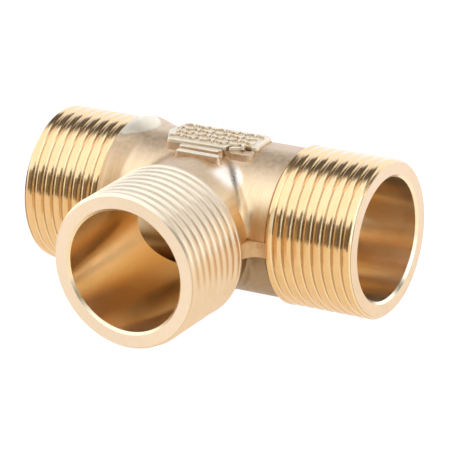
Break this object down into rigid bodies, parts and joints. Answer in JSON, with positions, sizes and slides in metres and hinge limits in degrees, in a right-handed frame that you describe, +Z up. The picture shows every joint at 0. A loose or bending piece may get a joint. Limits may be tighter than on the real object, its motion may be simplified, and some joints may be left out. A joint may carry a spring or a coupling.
{
  "type": "threaded equal tee pipe fitting",
  "caption": "Forged brass equal tee with three male parallel pipe threads, through bores, plain necks, a filleted branch and a raised marking pad.",
  "frame": {"origin": "the point where the run axis and the branch axis cross", "axes": "+X along the run towards its right end, -Y along the branch towards its mouth, +Z up through the raised pad"},
  "size_m": [0.0624, 0.0445, 0.0269],
  "materials": {
    "brass": "machined bright on the threads, faces and bores; satin as-forged on the body"
  },
  "bodies": {
    "root": {"tee_body": "brass"}
  },
  "joints": []
}
